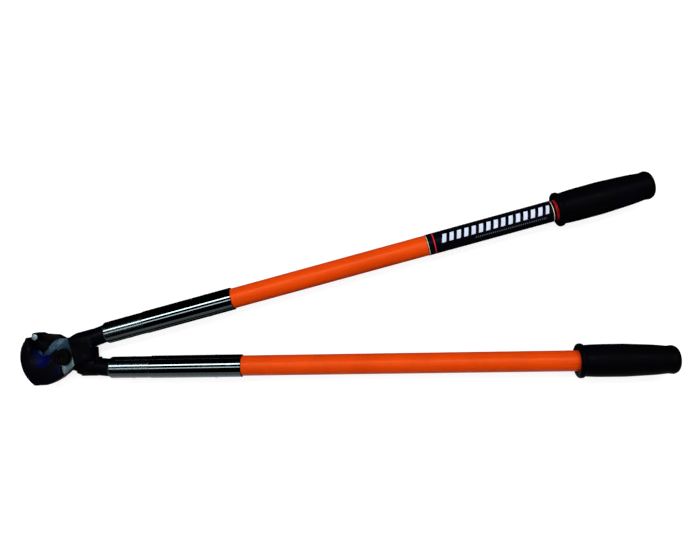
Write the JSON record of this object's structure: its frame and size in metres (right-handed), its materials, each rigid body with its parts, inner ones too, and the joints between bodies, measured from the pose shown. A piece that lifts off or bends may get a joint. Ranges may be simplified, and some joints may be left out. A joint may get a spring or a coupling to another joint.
{
  "type": "bolt cutters",
  "caption": "Long two-handed shear cutter with a hooked jaw, a straight jaw, steel sockets, coloured tube handles and rubber grips.",
  "frame": {"origin": "on the pivot's axis, on the flat end of the pivot nut and bolt, in the plane that the tool lies on", "axes": "+X along the tool from the jaws towards the grips, midway between the handles; +Y across it towards the upper handle; +Z along the pivot towards the bolt's head"},
  "size_m": [0.7906, 0.243, 0.0416],
  "materials": {
    "blackened_jaw_steel": "black oxide on forged tool steel, bare where it is ground",
    "black_lever": "semi-gloss black paint on forged steel",
    "bare_pin_steel": "ground bright end",
    "black_oxide_fastener": "black oxide, slightly oily",
    "zinc_washer": "dull zinc",
    "bronze_bush": "machined bronze",
    "polished_socket_steel": "polished dark steel",
    "inner_tube_steel": "drawn steel tube",
    "orange_tube": "satin orange powder coat",
    "black_wrap": "satin film",
    "black_plug": "moulded",
    "grip_rubber": "smooth moulded rubber"
  },
  "bodies": {
    "lower_half": {"blade_jaw": "blackened_jaw_steel", "stop_pin": "bare_pin_steel", "lower_jaw_screws": "black_oxide_fastener", "pivot_bolt": "black_oxide_fastener", "pivot_bush": "bronze_bush", "front_washer": "black_oxide_fastener", "rear_washer": "zinc_washer", "pivot_nut": "black_oxide_fastener", "lower_lever": "black_lever", "lower_socket": "polished_socket_steel", "lower_ferrule": "polished_socket_steel", "lower_shank_pin": "bare_pin_steel", "lower_ferrule_pin": "bare_pin_steel", "lower_tube_core": "inner_tube_steel", "lower_tube": "orange_tube", "lower_end_plug": "black_plug", "lower_grip": "grip_rubber"},
    "upper_half": {"hook_jaw": "blackened_jaw_steel", "upper_jaw_screws": "black_oxide_fastener", "upper_lever": "black_lever", "upper_socket": "polished_socket_steel", "upper_ferrule": "polished_socket_steel", "upper_shank_pin": "bare_pin_steel", "upper_ferrule_pin": "bare_pin_steel", "upper_tube_core": "inner_tube_steel", "upper_tube": "orange_tube", "label_wrap": "black_wrap", "upper_end_plug": "black_plug", "upper_grip": "grip_rubber"}
  },
  "joints": [
    {"name": "cutter_pivot", "type": "hinge", "parent": "lower_half", "child": "upper_half", "pos_m": [0, 0, 0.0208], "axis": [0, 0, 1], "range_deg": [-6, 50]}
  ]
}
